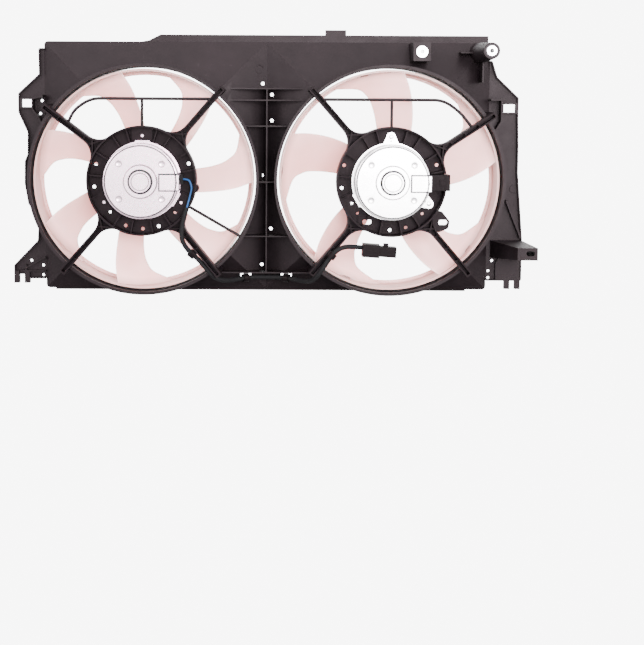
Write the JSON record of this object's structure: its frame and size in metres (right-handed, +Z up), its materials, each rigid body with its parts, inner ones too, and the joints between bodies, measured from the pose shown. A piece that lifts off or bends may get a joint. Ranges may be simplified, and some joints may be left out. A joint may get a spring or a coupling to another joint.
{
  "type": "radiator fan",
  "caption": "Twin electric radiator fan: moulded shroud with two barrels, spoked motor carriers, banded fans, flat motors and a clipped lead with its connector.",
  "frame": {"origin": "radiator side of the centre rib, midway between the two fan axes, at the height of the axes", "axes": "+X to the right and +Z up for someone who looks at the motor side; +Y towards the radiator"},
  "size_m": [0.7976, 0.109, 0.4105],
  "materials": {
    "shroud_plastic": "satin grained moulding",
    "fan_nylon": "milky nylon",
    "cream_nylon": "milky nylon, cream",
    "zinc_steel": "bright zinc plate",
    "bearing_steel": "ground steel",
    "ferrite": "dark ceramic",
    "copper_winding": "enamelled copper on a steel core",
    "commutator_copper": "turned copper",
    "carbon": "matt carbon",
    "black_plastic": "satin",
    "black_rubber": "matt",
    "grey_rubber": "matt",
    "blue_wire": "insulation"
  },
  "bodies": {
    "root": {"left_barrel": "shroud_plastic", "left_carrier": "shroud_plastic", "left_spokes": "shroud_plastic", "left_guard_rods": "shroud_plastic", "left_motor_can": "zinc_steel", "left_motor_plate": "zinc_steel", "left_terminal_cover": "zinc_steel", "left_motor_screws": "zinc_steel", "left_magnets": "ferrite", "left_brush_plate": "black_plastic", "left_brushes": "carbon", "left_bearings": "bearing_steel", "right_barrel": "shroud_plastic", "right_carrier": "shroud_plastic", "right_spokes": "shroud_plastic", "right_guard_rods": "shroud_plastic", "right_motor_can": "zinc_steel", "right_motor_plate": "zinc_steel", "right_terminal_cover": "zinc_steel", "right_motor_screws": "zinc_steel", "right_magnets": "ferrite", "right_brush_plate": "black_plastic", "right_brushes": "carbon", "right_bearings": "bearing_steel", "shroud_panel": "shroud_plastic", "top_flange": "shroud_plastic", "bolt_tower": "shroud_plastic", "tower_grommet": "grey_rubber", "tower_sleeve": "zinc_steel", "bush_pocket": "shroud_plastic", "pocket_bush": "zinc_steel", "left_wing": "shroud_plastic", "left_foot": "shroud_plastic", "right_wing": "shroud_plastic", "eye_lug": "shroud_plastic", "right_motor_socket": "black_plastic", "wire_grommet": "black_rubber", "motor_wires": "blue_wire", "lead_sleeve": "black_rubber", "lead_clips": "black_plastic", "connector_back": "black_plastic", "connector_front": "black_plastic"},
    "left_fan": {"left_armature": "copper_winding", "left_commutator": "commutator_copper", "left_shaft": "bearing_steel", "left_fan_hub": "cream_nylon", "left_fan_blades": "fan_nylon", "left_fan_band": "fan_nylon", "left_fan_nut": "zinc_steel"},
    "right_fan": {"right_armature": "copper_winding", "right_commutator": "commutator_copper", "right_shaft": "bearing_steel", "right_fan_hub": "cream_nylon", "right_fan_blades": "fan_nylon", "right_fan_band": "fan_nylon", "right_fan_nut": "zinc_steel"}
  },
  "joints": [
    {"name": "left_fan_spin", "type": "hinge", "parent": "root", "child": "left_fan", "pos_m": [-0.1855, -0.06, 0], "axis": [0, 1, 0], "continuous": true},
    {"name": "right_fan_spin", "type": "hinge", "parent": "root", "child": "right_fan", "pos_m": [0.1855, -0.06, 0], "axis": [0, 1, 0], "continuous": true}
  ]
}
